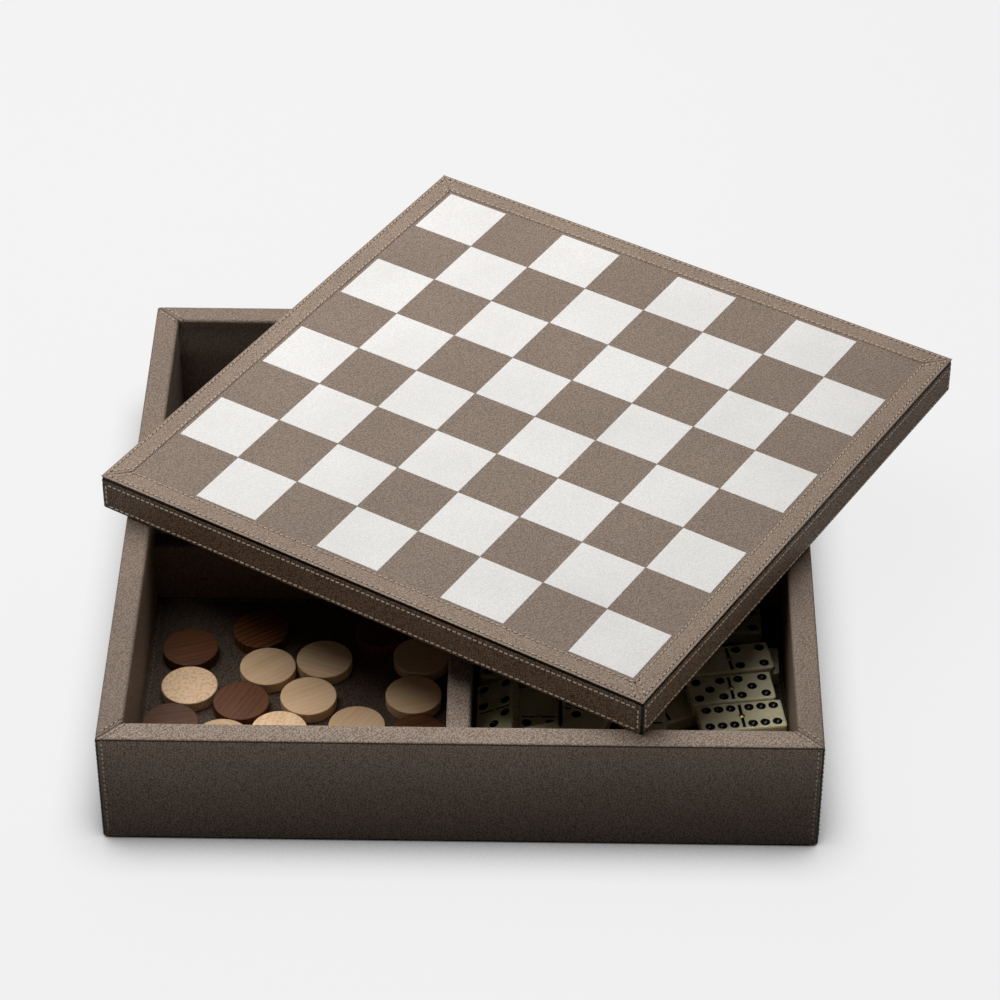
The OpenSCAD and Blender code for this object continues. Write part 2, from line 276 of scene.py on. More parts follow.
def wood(name, colours, centre=(0, 0, 0), angle=0.0, lines=0.5, seed=0.0, pores=0.0, mottle=0.0):
    """Solid timber. colours go from light to dark, and angle turns its fibres about centre. lines, pores
    and mottle are how strongly the growth lines, the dark pores and a flecked figure show."""
    g = Graph(name)
    light, middle, dark = colours
    local = g.vector("ADD", g.here(), tuple(-c for c in centre))
    fibres = g.add("VectorRotate", {"Vector": local, "Angle": angle}, rotation_type="Z_AXIS").outputs[0]
    moved = g.vector("ADD", fibres, (seed, seed * 1.7, seed * 0.6))

    # Growth lines run with the fibres and sway a little
    long = g.vector("MULTIPLY", moved, (0.07, 1.0, 0.8))
    sway = g.noise(long, scale=60.0)
    bent = g.vector("ADD", long, g.scaled((0.0, 0.006, 0.004), sway))
    inputs = {"Vector": bent, "Scale": 95.0, "Distortion": 3.2, "Detail": 3.0, "Detail Scale": 1.6}
    rings = g.add("TexWave", inputs, bands_direction="Y", wave_profile="SAW").outputs["Fac"]
    broad = g.noise(bent, scale=130.0, detail=3.0, rough=0.55)
    fibre = g.noise(g.vector("MULTIPLY", moved, (0.05, 1, 1)), scale=1900.0, detail=3.0, rough=0.7)
    mixed = g.math("MULTIPLY", rings, lines)
    for part, strength in ((broad, 0.7), (fibre, 0.45)):
        mixed = g.math("ADD", mixed, g.math("MULTIPLY", part, strength))
    ramp = g.add("ValToRGB", {0: g.span(mixed, 0.3, 1.1, smooth=False)})
    stops = ramp.color_ramp.elements
    stops[0].color = light
    stops[1].color = dark
    stops.new(0.5).color = middle
    colour = ramp.outputs[0]

    if pores:
        slits = g.noise(g.vector("MULTIPLY", moved, (0.12, 1, 1)), scale=1500.0)
        colour = g.mix(g.span(slits, 0.62, 0.72, 0.0, pores), colour, brighter(dark, 0.35))
    if mottle:
        flecks = g.noise(moved, scale=640.0, detail=2.0, rough=0.6)
        colour = g.mix(g.span(flecks, 0.4, 0.6, 0.0, mottle), colour, light)
        colour = g.mix(g.span(flecks, 0.38, 0.5, mottle * 0.6, 0.0), colour, dark)
    normal = g.bump(fibre, distance=0.00006, strength=0.7)
    rough = g.span(fibre, 0.3, 0.7, 0.42, 0.56)
    return g.surface(color=colour, rough=rough, normal=normal, specular=0.25)


def resin(name):
    """Ivory coloured resin: faint clouds and a little light passing through."""
    g = Graph(name)
    where = g.here()
    cloud = g.noise(where, scale=45.0, detail=4.0, rough=0.6)
    streak = g.noise(g.place(scale=(1, 5, 2)), scale=120.0, detail=3.0, rough=0.6)
    colour = g.mix(g.span(cloud, 0.3, 0.7), rgb(226, 219, 186), rgb(214, 205, 166))
    colour = g.mix(g.span(streak, 0.55, 0.8, 0.0, 0.25), colour, rgb(200, 184, 132))
    polish = g.noise(where, scale=700.0)
    return g.surface(
        color=colour,
        rough=g.span(polish, 0.3, 0.7, 0.2, 0.3),
        normal=g.bump(polish, distance=0.00002, strength=0.4),
        specular=0.5,
        subsurface=0.3,
        subsurface_scale=0.003,
        subsurface_radius=(1.0, 0.62, 0.28),
    )


def gloss_black(name):
    g = Graph(name)
    brush = g.noise(g.here(), scale=1500.0)
    colour = g.mix(g.span(brush, 0.4, 0.7), rgb(13, 13, 14), rgb(24, 23, 22))
    rough = g.span(brush, 0.3, 0.7, 0.12, 0.2)
    normal = g.bump(brush, distance=0.00003, strength=0.4)
    return g.surface(color=colour, rough=rough, normal=normal, specular=0.3)


def brass(name):
    g = Graph(name)
    lathe = g.noise(g.here(), scale=2500.0, detail=3.0, rough=0.6)
    colour = g.mix(g.span(lathe, 0.35, 0.7), rgb(255, 226, 160), rgb(238, 196, 116))
    rough = g.span(lathe, 0.3, 0.7, 0.4, 0.54)
    normal = g.bump(lathe, distance=0.00003, strength=0.5)
    return g.surface(color=colour, metal=1.0, rough=rough, normal=normal)


# Copies of one leather. Several are set lighter or darker with painted light and shade, for how their faces
# are lit
TAUPE = leather("leather_taupe", rgb(163, 144, 128), rgb(92, 77, 65))
# The lid's band is darker and browner: painted shade, and painted warm light bounced up from the wood below
TAUPE_BAND_SHADED = leather("leather_band", rgb(148, 124, 104), rgb(68, 52, 40), contrast=0.85)
# The walls' copies, one per face: the front lightened with painted light, the right, back and left darkened
# with painted shade
WALL_TAUPE_PAINTED_LIGHT_AND_SHADE = {
    "front": leather("leather_wall_front", rgb(180, 161, 146), rgb(92, 77, 65), contrast=0.74),
    "right": leather("leather_wall_right", rgb(153, 135, 120), rgb(82, 68, 57)),
    "back": leather("leather_wall_back", rgb(148, 131, 118), rgb(84, 71, 60)),
    "left": leather("leather_wall_left", rgb(148, 130, 116), rgb(80, 67, 56)),
}
TAUPE_BOARD = leather("leather_board", rgb(151, 134, 121), rgb(88, 74, 63), depth=0.18, contrast=0.6)
TAUPE_FLOOR = leather("leather_floor", rgb(94, 78, 65), rgb(38, 30, 24), contrast=0.8)
# The cross dividers' copy is darker: painted shade for their faces turned from the light
TAUPE_DIVIDER_SHADED = leather("leather_divider", rgb(122, 105, 91), rgb(64, 52, 43))
WHITE = leather(
    "leather_white", rgb(229, 227, 225), rgb(206, 203, 199), depth=0.07, contrast=0.4, rough=(0.5, 0.64)
)
PAINT = edge_paint("edge_paint_black")
# One thread in two copies set by how it is lit: the copy on the shaded wall corners and lid bands is
# brighter, with painted light, than the copy on the lit rim and lid top
THREAD_PAINTED_LIGHT = thread("thread_beige_painted_light", rgb(240, 226, 204), rgb(196, 178, 154))
THREAD_TOP_PAINTED_DARKER = thread("thread_taupe_painted_darker", rgb(208, 186, 168), rgb(158, 139, 122))
THREAD_FLOOR = thread("thread_brown", rgb(118, 100, 84), rgb(78, 65, 54))
# Stitch holes take the black edge paint's shader: painted shade for the dark inside each hole
HOLE_SHADE = edge_paint("stitch_hole_painted_shade")
# Darker leather: painted shade in stitch channels and in the crease under the rim's edge, and the dark of the
# rim's mitre joints
CHANNEL_SHADE_AND_JOINT = leather("leather_channel_shade_and_joint", rgb(84, 70, 59), rgb(48, 39, 32), depth=0.08, contrast=0.5)
SUEDE = suede("suede_lining", rgb(98, 86, 76), rgb(58, 50, 44))
TIMBER = wood("timber_plain", (rgb(206, 176, 130), rgb(190, 156, 110), rgb(160, 124, 82)), angle=0.3)
IVORY = resin("resin_ivory")
BLACK = gloss_black("pip_black")
BRASS = brass("brass_polished")


# Mesh helpers. Pieces are drawn in millimetres and made in metres


def make(
    name, verts, faces, materials, index=None, body="tray", matrix=None, slot=None, stands_for=(), sharp=35.0
):
    """A smooth shaded piece that rides on a body and stands for the CAD nodes named in stands_for.
    index is each face's material, and edges above the angle sharp stay sharp."""
    mesh = bpy.data.meshes.new(name)
    mesh.from_pydata((np.asarray(verts, float) * 0.001).tolist(), [], [list(map(int, f)) for f in faces])
    for material in materials:
        mesh.materials.append(material)
    if index is not None:
        mesh.polygons.foreach_set("material_index", np.asarray(index, np.int32))
    mesh.polygons.foreach_set("use_smooth", np.ones(len(mesh.polygons), bool))
    mesh.update()
    mesh.set_sharp_from_angle(angle=math.radians(sharp))
    obj = bpy.data.objects.new(name, mesh)
    scene.collection.objects.link(obj)
    if matrix is not None:
        obj.matrix_world = matrix
    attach(obj, body)
    if stands_for:
        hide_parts(*stands_for)
    return obj


def arc(cx, cz, r, start, end, steps):
    """Points round an arc, angles in degrees."""
    turn = np.radians(np.linspace(start, end, steps + 1))
    return [(cx + r * math.cos(a), cz + r * math.sin(a)) for a in turn]


def turned(points, quarter):
    """Points turned by quarter turns about Z."""
    points = np.asarray(points, float)
    for _ in range(quarter % 4):
        points = np.stack([-points[:, 1], points[:, 0], points[:, 2]], 1)
    return points


def outward(loop):
    """Unit normals of a closed loop of (depth, height) points, and whether it runs anticlockwise."""
    loop = np.asarray(loop, float)
    ahead = np.roll(loop, -1, 0) - loop
    ahead /= np.maximum(np.linalg.norm(ahead, axis=1, keepdims=True), 1e-9)
    behind = np.roll(ahead, 1, 0)
    along = ahead + behind
    along /= np.maximum(np.linalg.norm(along, axis=1, keepdims=True), 1e-9)
    area = 0.5 * np.sum(loop[:, 0] * np.roll(loop[:, 1], -1) - loop[:, 1] * np.roll(loop[:, 0], -1))
    flip = 1.0 if area > 0 else -1.0
    return np.stack([along[:, 1], -along[:, 0]], 1) * flip, area > 0


def sweep(loop, skin, span, near, middle, sink, mitred=True):
    """A closed profile along one side of a square. span is the side, near the distances of the first
    stations from each end, and middle the number of spaces between them. sink(e, point, k) is how far
    the skin lies under its plain surface at the distance e from an end. Returns the points, the faces,
    and for each face its place in the profile and its distance from an end."""
    loop = np.asarray(loop, float)
    normal, positive = outward(loop)
    count = len(loop)
    # Each row has the end it counts from, its distance, and its share of the way to the other end
    rows = [(1, e, 0.0) for e in near]
    rows += [(1, near[-1], k / middle) for k in range(1, middle)]
    rows += [(-1, e, 0.0) for e in reversed(near)]
    points, ends = [], []
    for sign, e, share in rows:
        end = e + 1000 * share
        drop = np.array([sink(end, loop[k], k) if skin[k] else 0.0 for k in range(count)])
        depth = loop[:, 0] - normal[:, 0] * drop
        height = loop[:, 1] - normal[:, 1] * drop
        along = (e - span / 2 + (depth if mitred else 0.0)) * np.ones(count)
        points.append(np.stack([along * sign * (1 - 2 * share), -span / 2 + depth, height], 1))
        ends.append(end)
    faces, about = [], []
    for r in range(len(rows) - 1):
        for k in range(count):
            n = (k + 1) % count
            quad = [r * count + k, r * count + n, (r + 1) * count + n, (r + 1) * count + k]
            faces.append(quad[::-1] if positive else quad)
            about.append((k, min(ends[r], ends[r + 1])))
    cap = list(range(count))
    faces.append(cap if positive else cap[::-1])
    about.append((-1, 0.0))
    last = [(len(rows) - 1) * count + k for k in range(count)]
    faces.append(last[::-1] if positive else last)
    about.append((-1, 0.0))
    return np.concatenate(points), faces, about


def dip(e, middle, width, depth):
    """Depth at e of a soft channel."""
    return depth * math.exp(-(((e - middle) / width) ** 2))


def rounding(e, r):
    """How far a rounded end of radius r has receded at the distance e from it."""
    return 0.0 if e >= r else r - math.sqrt(max(r * r - (r - e) ** 2, 0.0))


def corner(e, r):
    """How far half of a rounded corner of radius r has receded at the distance e from its mitre."""
    return 0.0 if e >= r else r * (1 - math.cos(math.acos(e / (r * math.sqrt(2))) - math.pi / 4))


# Stitches: a short bent length of thread that goes down at both ends

RING = 7
PITCH = 3.55
THREAD_R = 0.43
THREAD_END_R = 0.3
THREAD_FLAT = 0.85
HOLE_RX = 0.62
HOLE_RY = 0.46
HOLE_TOP = -0.04
HOLE_FLOOR = -0.3
LINE = [(-1.12, -0.5), (-1.0, -0.12), (-0.62, 0.17), (0.0, 0.27), (0.62, 0.17), (1.0, -0.12), (1.12, -0.5)]


def stitch_shape():
    """Points of one stitch along X, with Z up out of the leather, and its faces. The hole that it
    shares with the next stitch, painted black for the shade in it, comes last."""
    points, faces = [], []
    count = len(LINE)
    around = [2 * math.pi * i / RING for i in range(RING)]
    for k, (x, z) in enumerate(LINE):
        thick = THREAD_R if 0 < k < count - 1 else THREAD_END_R
        before = LINE[max(k - 1, 0)]
        after = LINE[min(k + 1, count - 1)]
        slope = math.atan2(after[1] - before[1], after[0] - before[0])
        for a in around:
            side, up = thick * math.cos(a), thick * THREAD_FLAT * math.sin(a)
            points.append((x - up * math.sin(slope), side, z + up * math.cos(slope)))
    for k in range(count - 1):
        for i in range(RING):
            j = (i + 1) % RING
            faces.append((k * RING + i, k * RING + j, (k + 1) * RING + j, (k + 1) * RING + i))
    faces.append(tuple(reversed(range(RING))))
    faces.append(tuple(range((count - 1) * RING, count * RING)))

    base = len(points)
    points += [(PITCH / 2 + HOLE_RX * math.cos(a), HOLE_RY * math.sin(a), HOLE_TOP) for a in around]
    points.append((PITCH / 2, 0.0, HOLE_FLOOR))
    faces.append(tuple(range(base, base + RING)))
    faces += [(base + (i + 1) % RING, base + i, base + RING) for i in range(RING)]
    return np.array(points), faces


STITCH, STITCH_FACES = stitch_shape()


class Seams:
    """Gathers rows of stitches, then makes them as one piece."""

    def __init__(self, seed):
        self.points = []
        self.random = np.random.default_rng(seed)

    def row(self, start, end, up, pitch=PITCH, gap=1.2, slant=6.0):
        """Stitches from start to end, with up out of the leather. Each leans by about slant degrees."""
        start, end, up = (np.asarray(v, float) for v in (start, end, up))
        run = end - start
        length = np.linalg.norm(run)
        if length < pitch:
            return
        ahead = run / length
        side = np.cross(up, ahead)
        number = max(1, round((length - 2 * gap) / pitch))
        step = (length - 2 * gap) / number
        local = STITCH * np.array([step / PITCH, 1.0, 1.0])
        for k in range(number):
            middle = start + ahead * (gap + (k + 0.5) * step)
            lean = math.radians(slant + self.random.normal(0, 1.6))
            x_axis = ahead * math.cos(lean) + side * math.sin(lean)
            y_axis = np.cross(up, x_axis)
            lift = self.random.normal(0, 0.02)
            world = middle + local[:, :1] * x_axis + local[:, 1:2] * y_axis + (local[:, 2:] + lift) * up
            self.points.append(world)

    def build(self, name, material, **place):
        count = len(STITCH)
        faces = [[i + k * count for i in f] for k in range(len(self.points)) for f in STITCH_FACES]
        # The hole faces at the end of each stitch take the painted shade
        hole_faces = RING + 1
        index = [0] * (len(STITCH_FACES) - hole_faces) + [1] * hole_faces
        index = index * len(self.points)
        return make(name, np.concatenate(self.points), faces, [material, HOLE_SHADE], index, sharp=80.0, **place)


SIDES = ("front", "right", "back", "left")


def four_sides(name, node, profile, span, stations, sink, finish, hides, paints, **place):
    """A profile swept along the four sides of a square, one piece for each. profile is its points, of
    which the first skin_count are the skin. stations are the first ones near an end, then the number of
    spaces between them. finish(k, e) picks each face's material from its hide and the paints."""
    loop, skin_count = profile
    near, middle = stations
    skin = [k < skin_count for k in range(len(loop))]
    points, faces, about = sweep(loop, skin, span, near, middle, sink)
    index = [finish(k, e) for k, e in about]
    for q, side in enumerate(SIDES):
        materials = [hides[side]] + paints
        make(name + side, turned(points, q), faces, materials, index, stands_for=[node + side], **place)


# The tray's wall leathers

RIM_OUT_R = 1.4
RIM_IN_R = 2.0
BOX_CORNER_R = 1.3
SEAM_IN = 3.2
WALL_PITCH = 3.2
SEAM_SINK = 0.16
PAINT_WIDTH = 0.9
WALL_STATIONS = ([0.0, 0.14, 0.32, 0.55, 0.85, 1.2, 1.6, 2.1, 2.8, 3.05, 3.35, 3.7, 4.4, 6.0], 16)


def wall_profile():
    """The leather of one wall across its depth and height, and how many of the points are its skin."""
    r = FOOT_R
    skin = [(x, LINING) for x in (TURN_IN, 12.0, 5.0)]
    skin += arc(r, LINING + r, r, 270, 180, 8)
    skin += [(0.0, z) for z in (3.0, 8.0, 20.0, 35.0, 50.0, 62.0, 67.0, 68.6)]
    skin += arc(RIM_OUT_R, BOX_H - RIM_OUT_R, RIM_OUT_R, 180, 90, 7)
    skin += [(x, BOX_H) for x in (3.2, WALL / 2, WALL - 3.4)]
    skin += arc(WALL - RIM_IN_R, BOX_H - RIM_IN_R, RIM_IN_R, 90, 0, 7)
    skin += [(WALL, z) for z in (64.0, 50.0, 30.0, 13.0, FLOOR_UNDER + 1.0, FLOOR_UNDER)]
    under = [(WALL - HIDE, FLOOR_UNDER), (WALL - HIDE, BOX_H - HIDE)]
    under += [(HIDE, BOX_H - HIDE), (HIDE, LINING + r)]
    under += arc(r, LINING + r, r - HIDE, 180, 270, 4)[1:]
    under += [(TURN_IN, LINING + HIDE)]
    return skin + under, len(skin)


def wall_sink(e, point, k):
    """Rounded corners outside, pulled in mitres on the rim, and the channels of the corner seams."""
    depth, height = point
    if depth < 1.7 and height < BOX_H - 0.6:
        return corner(e, BOX_CORNER_R) + dip(e, SEAM_IN, 0.6, SEAM_SINK)
    if depth > WALL - 1.0 and height < BOX_H - 2.0:
        return 0.0
    return dip(e, 0.0, 0.75, 0.5) + dip(e, SEAM_IN, 0.7, SEAM_SINK)


def wall_leather():
    loop, skin_count = wall_profile()

    def finish(k, e):
        """0 leather, 1 black paint on the outer corner, 2 darker leather: painted shade in the crease under
        the rim's outer edge and in the stitch channels beside the mitre, and the dark mitre joint.
        """
        if not 0 <= k < skin_count - 1:
            return 0
        depth, height = loop[k]
        if depth < 1.7 and 0.9 < height < BOX_H - 1.2 and e < PAINT_WIDTH:
            return 1
        # Index 2 paints shade into the crease under the rim's outer edge and the stitch channels beside the
        # mitre, and darkens the mitre joint
        on_rim = min(height, loop[k + 1][1]) > BOX_H - 1.3
        beside_mitre = on_rim and (e < 0.3 or 3.0 < e < 3.6)
        crease = depth < 0.4 and BOX_H - 1.45 < height < BOX_H - 0.65
        return 2 if beside_mitre or crease else 0

    four_sides(
        "leather_wall_", "wall_cover_", (loop, skin_count), BOX, WALL_STATIONS, wall_sink, finish,
        WALL_TAUPE_PAINTED_LIGHT_AND_SHADE, [PAINT, CHANNEL_SHADE_AND_JOINT], slot="leather",
    )


def wall_seams():
    corners, rim = Seams(3), Seams(4)
    for q in range(4):
        for sign in (-1, 1):
            x = sign * (HALF - SEAM_IN)
            column = [(x, -HALF + 0.06, 3.5), (x, -HALF + 0.06, BOX_H - 1.5), (0, -1, 0)]
            corners.row(*turned(column, q), pitch=WALL_PITCH)
            outer = (sign * (HALF - SEAM_IN - 1.9), -HALF + 1.9, BOX_H - 0.08)
            inner = (sign * (HALF - SEAM_IN - WALL + 2.2), -HALF + WALL - 2.2, BOX_H - 0.08)
            rim.row(*turned([outer, inner, (0, 0, 1)], q), gap=0.4)
    corners.build("stitches_wall_corners", THREAD_PAINTED_LIGHT, slot="leather")
    rim.build("stitches_rim_corners", THREAD_TOP_PAINTED_DARKER, slot="leather")


# Floor panels and other soft edged flat leathers


def soft_panel(x0, y0, x1, y1, z0, z1, seam=2.4, groove=0.14, edge=0.5):
    """A flat leather with rolled edges of the radius edge, and a channel of the depth groove under the
    stitches at seam from its edges. Its points are a grid, then the four corners underneath."""
    steps = [0.0] + [edge * v for v in (0.16, 0.4, 0.72, 1.0)]
    steps += [1.0] + [seam + v for v in (-0.6, -0.3, 0.0, 0.3, 0.6, 1.5)]

    def stations(low, high):
        inner = np.linspace(low + steps[-1], high - steps[-1], 9)[1:-1]
        return [low + v for v in steps] + list(inner) + [high - v for v in reversed(steps)]

    xs, ys = stations(x0, x1), stations(y0, y1)
    points, faces = [], []
    for y in ys:
        for x in xs:
            e = min(x - x0, x1 - x, y - y0, y1 - y)
            z = z1 - rounding(e, edge) - dip(e, seam, 0.45, groove)
            points.append((x, y, max(z, z0 + 0.02)))
    top = len(points)
    points += [(x, y, z0) for y in (y0, y1) for x in (x0, x1)]
    w, h = len(xs), len(ys)
    for j in range(h - 1):
        for i in range(w - 1):
            a = j * w + i
            faces.append((a, a + 1, a + w + 1, a + w))
    south = list(range(w))
    north = [(h - 1) * w + i for i in range(w)]
    west = [j * w for j in range(h)]
    east = [j * w + w - 1 for j in range(h)]
    faces.append([top, top + 1] + south[::-1])
    faces.append([top + 3, top + 2] + north)
    faces.append([top + 2, top] + west)
    faces.append([top + 1, top + 3] + east[::-1])
    faces.append((top, top + 2, top + 3, top + 1))
    return points, faces


# Each compartment's side of the dividers
ROOMS = {"front_left": (-1, -1), "front_right": (1, -1), "back_left": (-1, 1), "back_right": (1, 1)}
FLOOR_SEAM_IN = 2.4
FLOOR_GAP = 0.15


def floor_leathers():
    seams = Seams(7)
    g = FLOOR_GAP
    for name, (sx, sy) in ROOMS.items():
        edge = DIVIDER_X + sx * DIVIDER / 2
        x0, x1 = sorted((edge, sx * INNER))
        y0, y1 = sorted((sy * DIVIDER / 2, sy * INNER))
        points, faces = soft_panel(x0 + g, y0 + g, x1 - g, y1 - g, FLOOR_UNDER, FLOOR, seam=FLOOR_SEAM_IN)
        make(
            "leather_floor_" + name, points, faces, [TAUPE_FLOOR],
            slot="leather", stands_for=["floor_panel_" + name],
        )
        s, z = FLOOR_SEAM_IN + g, FLOOR - 0.12
        ring = [(x0 + s, y0 + s, z), (x1 - s, y0 + s, z), (x1 - s, y1 - s, z), (x0 + s, y1 - s, z)]
        for start, end in zip(ring, ring[1:] + ring[:1]):
            seams.row(start, end, (0, 0, 1))
    seams.build("stitches_floor", THREAD_FLOOR, slot="leather")


def divider_profile():
    """The leather over a divider, across it and up, and how many of its points are its skin."""
    h, r = DIVIDER / 2, 2.0
    levels = (FLOOR_UNDER, 20.0, 34.0, 43.0)
    skin = [(-h, z) for z in levels]
    skin += arc(-h + r, DIVIDER_TOP - r, r, 180, 90, 7)
    skin += [(-2.0, DIVIDER_TOP), (2.0, DIVIDER_TOP)]
    skin += arc(h - r, DIVIDER_TOP - r, r, 90, 0, 7)
    skin += [(h, z) for z in reversed(levels)]
    i = h - HIDE
    under = [(i, FLOOR_UNDER), (i, DIVIDER_TOP - HIDE), (-i, DIVIDER_TOP - HIDE), (-i, FLOOR_UNDER)]
    return skin + under, len(skin)


def divider_sink(e, point, k):
    """Pressed in where the leather meets a wall or the other divider."""
    return dip(e, 0.0, 0.6, 0.3) if point[1] > 12 else 0.0


def divider_leather(name, node, length, place, quarter, material):
    """Leather folded over a divider of this length. Its middle is at place, and it runs along X, or
    along Y with a quarter turn."""
    loop, skin_count = divider_profile()
    skin = [k < skin_count for k in range(len(loop))]
    near = [0.0, 0.2, 0.45, 0.8, 1.3, 2.2]
    points, faces, _ = sweep(loop, skin, length, near, 10, divider_sink, mitred=False)
    points[:, 1] += length / 2
    points = turned(points, quarter) + np.array(place)
    make("leather_divider_" + name, points, faces, [material], slot="leather", stands_for=[node])


def divider_leathers():
    middle = (DIVIDER_X, 0, 0)
    # The long divider takes the walls' front copy, lightened with painted light
    divider_leather("long", "divider_long_cover", 2 * INNER, middle, 1, WALL_TAUPE_PAINTED_LIGHT_AND_SHADE["front"])
    for sx, side in ((-1, "left"), (1, "right")):
        edge = DIVIDER_X + sx * DIVIDER / 2
        x0, x1 = sorted((edge, sx * INNER))
        middle = ((x0 + x1) / 2, 0, 0)
        node = "divider_cross_cover_" + side
        divider_leather("cross_" + side, node, x1 - x0, middle, 0, TAUPE_DIVIDER_SHADED)


# The lid, drawn about its own middle and placed by its matrix

LID_HALF = LID / 2
ON_LID = {"body": "lid", "matrix": LID_AT, "slot": "leather"}
SHEET_CORNER_R = 1.6
STRIP_CORNER_R = 2.2
LID_CORNER_R = 1.3
MITRE_ROW = 3.6
BAND_SEAM_IN = 2.9
BAND_TURN_IN = 14.0
STRIP_STATIONS = ([0.0, 0.14, 0.32, 0.55, 0.85, 1.3, 1.9, 2.6, 3.1, 3.6, 4.1, 4.8, 6.0], 14)
BAND_STATIONS = ([0.0, 0.14, 0.32, 0.55, 0.85, 1.3, 1.7, 2.2, 2.6, 2.9, 3.2, 3.7, 5.0], 14)


def board_sheet():
    """Sheet under the board. Its cut edge is painted."""
    r = SHEET_CORNER_R
    flat = LID_HALF - r
    corners = []
    for cx, cy, start in ((flat, flat, 0), (-flat, flat, 90), (-flat, -flat, 180), (flat, -flat, 270)):
        for a in np.radians(np.linspace(start, start + 90, 7)):
            corners.append((cx, cy, math.cos(a), math.sin(a)))
    levels = ((0.4, SHEET_Z), (0.22, SHEET_Z + 0.2), (0.16, SHEET_Z + 0.5), (0.16, STRIP_Z))
    points = []
    for inset, z in levels:
        points += [(cx + (r - inset) * c, cy + (r - inset) * s, z) for cx, cy, c, s in corners]
    n = len(corners)
    last = n * (len(levels) - 1)
    faces = []
    for low in range(0, last, n):
        for k in range(n):
            j = (k + 1) % n
            faces.append((low + k, low + j, low + n + j, low + n + k))
    index = [1] * len(faces) + [0, 0]
    faces += [range(last, last + n), range(n - 1, -1, -1)]
    materials = [TAUPE_BOARD, PAINT]
    make("leather_board_sheet", points, faces, materials, index, stands_for=["lid_sheet"], **ON_LID)


def white_squares():
    """The white leathers, each with rolled edges."""
    g = 0.15
    points, faces = [], []
    for i in range(8):
        for j in range(8):
            if (i + j) % 2:
                x, y = (i - 4) * SQUARE, (j - 4) * SQUARE
                sides = (x + g, y + g, x + SQUARE - g, y + SQUARE - g)
                more, those = soft_panel(*sides, STRIP_Z, STRIP_Z + INLAY, seam=3.0, groove=0.0, edge=0.22)
                faces += [[v + len(points) for v in f] for f in those]
                points += more
    place = dict(ON_LID, slot="white_leather")
    make("leather_white_squares", points, faces, [WHITE], stands_for=["lid_white_squares"], **place)


def border_strips():
    """Mitred strips with rolled edges, and a channel under each row of stitches, with painted shade in it."""
    z0, z1, r, w = STRIP_Z, LID_H, 0.5, STRIP_W
    outer_row, inner_row = LID_ROWS
    path = [(0.0, z0)] + arc(r, z1 - r, r, 180, 90, 6) + [(1.1, z1), (1.5, z1)]
    path += [(outer_row + v, z1) for v in (-0.4, -0.2, 0.0, 0.2, 0.4, 0.8)]
    path += [(x, z1) for x in (5.0, 7.0, 9.0)]
    path += [(inner_row + v, z1) for v in (-1.0, -0.5, -0.25, 0.0, 0.25)]
    path += arc(w - 0.4, z1 - 0.4, 0.4, 90, 0, 4) + [(w, z0)]
    last = len(path) - 1

    def sink(e, point, k):
        depth, height = point
        if k < 2:
            return corner(e, STRIP_CORNER_R)
        if k >= last:
            return 0.0
        value = corner(e, STRIP_CORNER_R) if depth < 0.1 else 0.0
        if height >= z1 - 0.02:
            value = dip(depth, outer_row, 0.45, 0.2) + dip(depth, inner_row, 0.45, 0.2)
            value += dip(e, 0.0, 0.45, 0.28)
            if outer_row < depth < inner_row:
                value += dip(e, MITRE_ROW, 0.6, 0.14)
        return min(value, 0.44)

    def finish(k, e):
        """0 leather, 1 painted shade in the stitch channels, 2 black paint on the outer edge."""
        if 0 <= k <= 3:
            return 2
        depth = (path[k][0] + path[(k + 1) % len(path)][0]) / 2
        in_row = 0 < k < last and min(abs(depth - v) for v in LID_ROWS) < 0.32
        beside_mitre = 0 < k and outer_row < depth < inner_row and 3.0 < e < 3.9
        return 1 if in_row or beside_mitre else 0

    hides = dict.fromkeys(SIDES, TAUPE)
    four_sides(
        "leather_border_", "lid_border_", (path, len(path)), LID, STRIP_STATIONS, sink, finish,
        hides, [CHANNEL_SHADE_AND_JOINT, PAINT], **ON_LID,
    )


def side_bands():
    """Bands round the lid, folded under it, with black paint on their top edges and corners."""
    r = FOOT_R
    low, high = BAND_ROWS
    path = [(x, 0.0) for x in (BAND_TURN_IN, 9.0, 5.0)] + arc(r, r, r, 270, 180, 7)
    path += [(0.0, z) for z in (low - 0.5, low, low + 0.5, 6.0, 10.0, 14.0)]
    path += [(0.0, high + v) for v in (-1.0, -0.5, -0.25, 0.0, 0.25, 0.5, 1.2)]
    path += [(0.0, 19.5), (0.04, 19.8), (0.16, 20.05), (0.34, 20.2), (0.6, 20.3), (HIDE, SHEET_Z)]
    painted = len(path) - 3
    under = [(HIDE, r)] + arc(r, r, r - HIDE, 180, 270, 4)[1:] + [(BAND_TURN_IN, HIDE)]
    loop = path + under

    def sink(e, point, k):
        depth, height = point
        if depth > 1.7:
            return dip(e, 0.0, 0.5, 0.25)
        if k >= painted:
            return 0.0
        value = corner(e, LID_CORNER_R) + dip(e, BAND_SEAM_IN, 0.55, 0.15)
        return value + dip(height, low, 0.5, 0.13) + dip(height, high, 0.5, 0.16)

    def finish(k, e):
        """0 leather, 1 black paint."""
        on_edge = painted <= k < len(path)
        on_corner = 0 <= k < painted and e < PAINT_WIDTH and loop[k][0] < 1.5
        return 1 if on_edge or on_corner else 0

    hides = dict.fromkeys(SIDES, TAUPE_BAND_SHADED)
    four_sides(
        "leather_band_", "lid_band_", (loop, len(path)), LID, BAND_STATIONS, sink, finish,
        hides, [PAINT], **ON_LID,
    )


